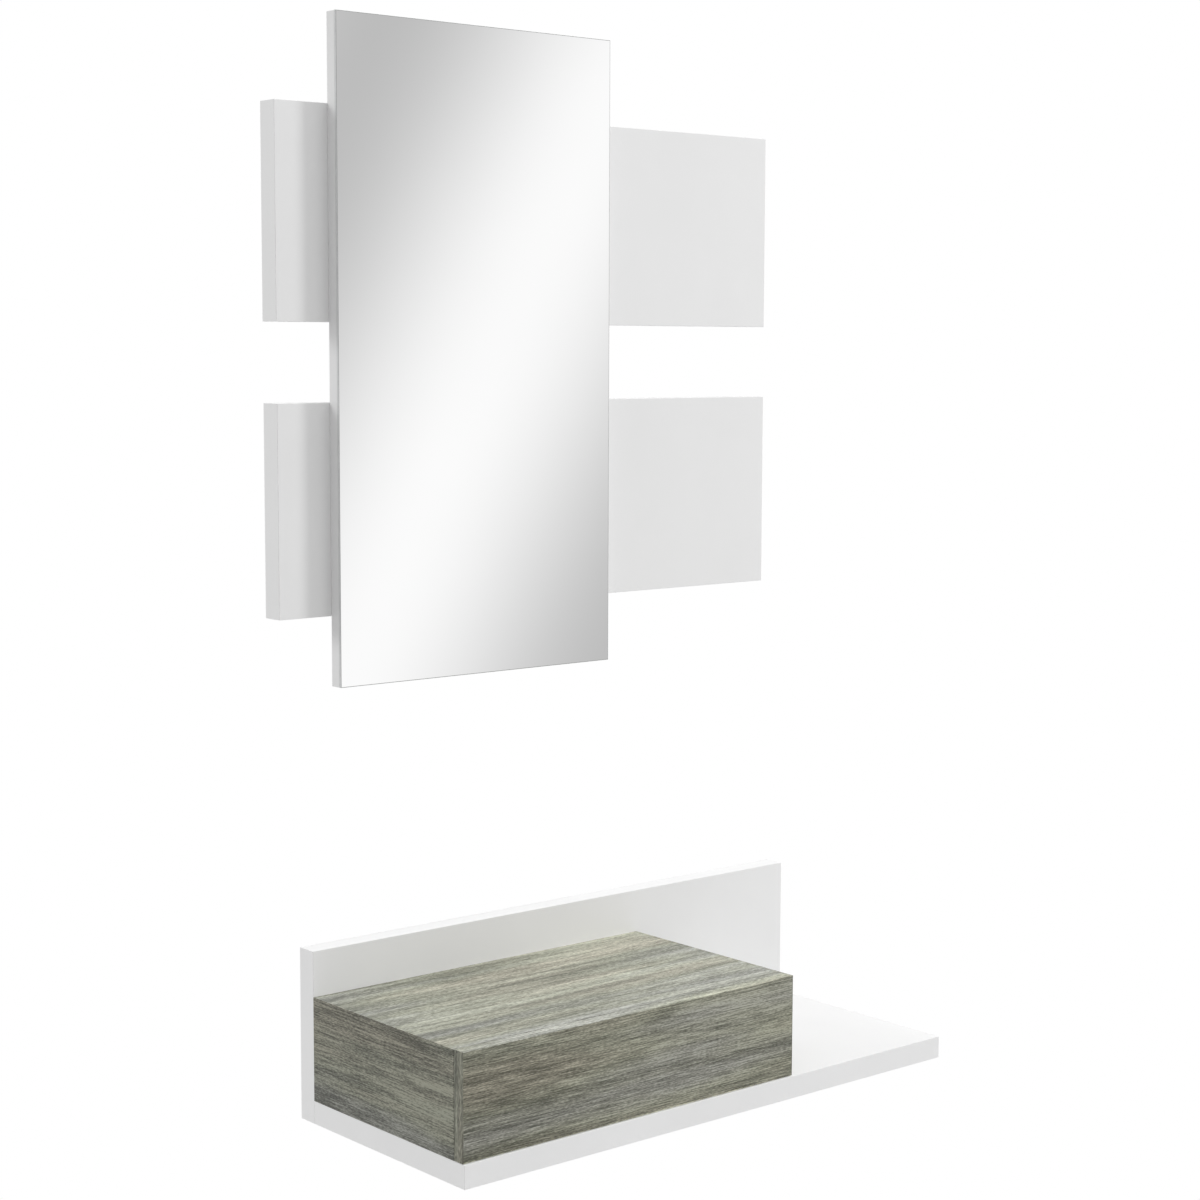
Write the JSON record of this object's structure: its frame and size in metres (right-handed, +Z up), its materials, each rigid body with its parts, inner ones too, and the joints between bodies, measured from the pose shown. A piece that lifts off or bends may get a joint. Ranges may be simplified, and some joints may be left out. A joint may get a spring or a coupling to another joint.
{
  "type": "entryway mirror with drawer",
  "caption": "Wall-hung hallway set: tall frameless mirror on two white boards, and below it a white wall shelf with an upstand and a grey-oak push-to-open drawer.",
  "frame": {"origin": "centre of the shelf back panel's rear face, on the wall plane", "axes": "+X to the right along the wall as seen from the room, +Y into the wall, +Z up"},
  "size_m": [0.8435, 0.333, 1.3415],
  "materials": {
    "white_board": "white melamine, satin",
    "mirror": "silvered float glass, arrised edge",
    "grey_oak": "grey oak decor with fine grain, matt",
    "grey_oak_band": "grey oak edge band, matt",
    "drawer_board": "white foil-wrapped chipboard, matt",
    "hardboard": "white lacquered hardboard",
    "beech": "plain beech",
    "zinc_steel": "bright zinc plating",
    "screw_steel": "yellow zinc plating",
    "bearing": "steel strip with polished balls",
    "spring_steel": "drawn spring wire",
    "latch_plastic": "grey moulded plastic",
    "tape": "double-sided mounting tape"
  },
  "bodies": {
    "wall_set": {"upper_backing_board": "white_board", "lower_backing_board": "white_board", "mirror_backing_panel": "white_board", "shelf_back_panel": "white_board", "shelf_base_board": "white_board", "mirror_glass": "mirror", "box_left_side": "grey_oak", "box_right_side": "grey_oak", "box_top": "grey_oak", "base_dowels": "beech", "panel_dowels": "beech", "mitre_splines": "beech", "slide_outer_left": "zinc_steel", "slide_outer_right": "zinc_steel", "mirror_hanger_plates": "zinc_steel", "shelf_hanger_plates": "zinc_steel", "panel_screws": "screw_steel", "mirror_hanger_screws": "screw_steel", "shelf_hanger_screws": "screw_steel", "base_screws": "screw_steel", "box_base_screws": "screw_steel", "box_back_screws": "screw_steel", "slide_cabinet_screws": "screw_steel", "latch_screws": "screw_steel", "latch_spring": "spring_steel", "latch_housing": "latch_plastic", "latch_end_cap": "latch_plastic", "mirror_tape": "tape"},
    "drawer": {"drawer_front": "grey_oak", "front_band_left": "grey_oak_band", "front_band_right": "grey_oak_band", "front_band_top": "grey_oak_band", "front_band_bottom": "grey_oak_band", "drawer_left_side": "drawer_board", "drawer_right_side": "drawer_board", "drawer_back": "drawer_board", "drawer_bottom": "hardboard", "drawer_dowels": "beech", "drawer_cam_bolts": "zinc_steel", "drawer_cam_discs": "zinc_steel", "drawer_back_screws": "screw_steel", "drawer_bottom_screws": "screw_steel", "slide_inner_left": "zinc_steel", "slide_inner_right": "zinc_steel", "slide_drawer_screws": "screw_steel", "latch_strike": "zinc_steel"},
    "slide_middles": {"slide_middle_left": "zinc_steel", "slide_middle_right": "zinc_steel"},
    "outer_cages": {"slide_cage_outer_left": "bearing", "slide_cage_outer_right": "bearing"},
    "inner_cages": {"slide_cage_inner_left": "bearing", "slide_cage_inner_right": "bearing"},
    "latch_button": {"latch_plunger": "latch_plastic"}
  },
  "joints": [
    {"name": "drawer_slide", "type": "slide", "parent": "wall_set", "child": "drawer", "axis": [0, -1, 0], "range_m": [0, 0.24]},
    {"name": "middle_slide", "type": "slide", "parent": "wall_set", "child": "slide_middles", "axis": [0, -1, 0], "range_m": [0, 0.12]},
    {"name": "outer_cage_slide", "type": "slide", "parent": "wall_set", "child": "outer_cages", "axis": [0, -1, 0], "range_m": [0, 0.06]},
    {"name": "inner_cage_slide", "type": "slide", "parent": "wall_set", "child": "inner_cages", "axis": [0, -1, 0], "range_m": [0, 0.18]},
    {"name": "latch_press", "type": "slide", "parent": "wall_set", "child": "latch_button", "axis": [0, 1, 0], "range_m": [0, 0.003], "stiffness_N_per_m": 200, "springref_m": -0.005, "deforming": ["latch_spring"]}
  ],
  "couplings": [
    {"joint": "middle_slide", "follows": "drawer_slide", "ratio": 0.5},
    {"joint": "outer_cage_slide", "follows": "drawer_slide", "ratio": 0.25},
    {"joint": "inner_cage_slide", "follows": "drawer_slide", "ratio": 0.75}
  ]
}
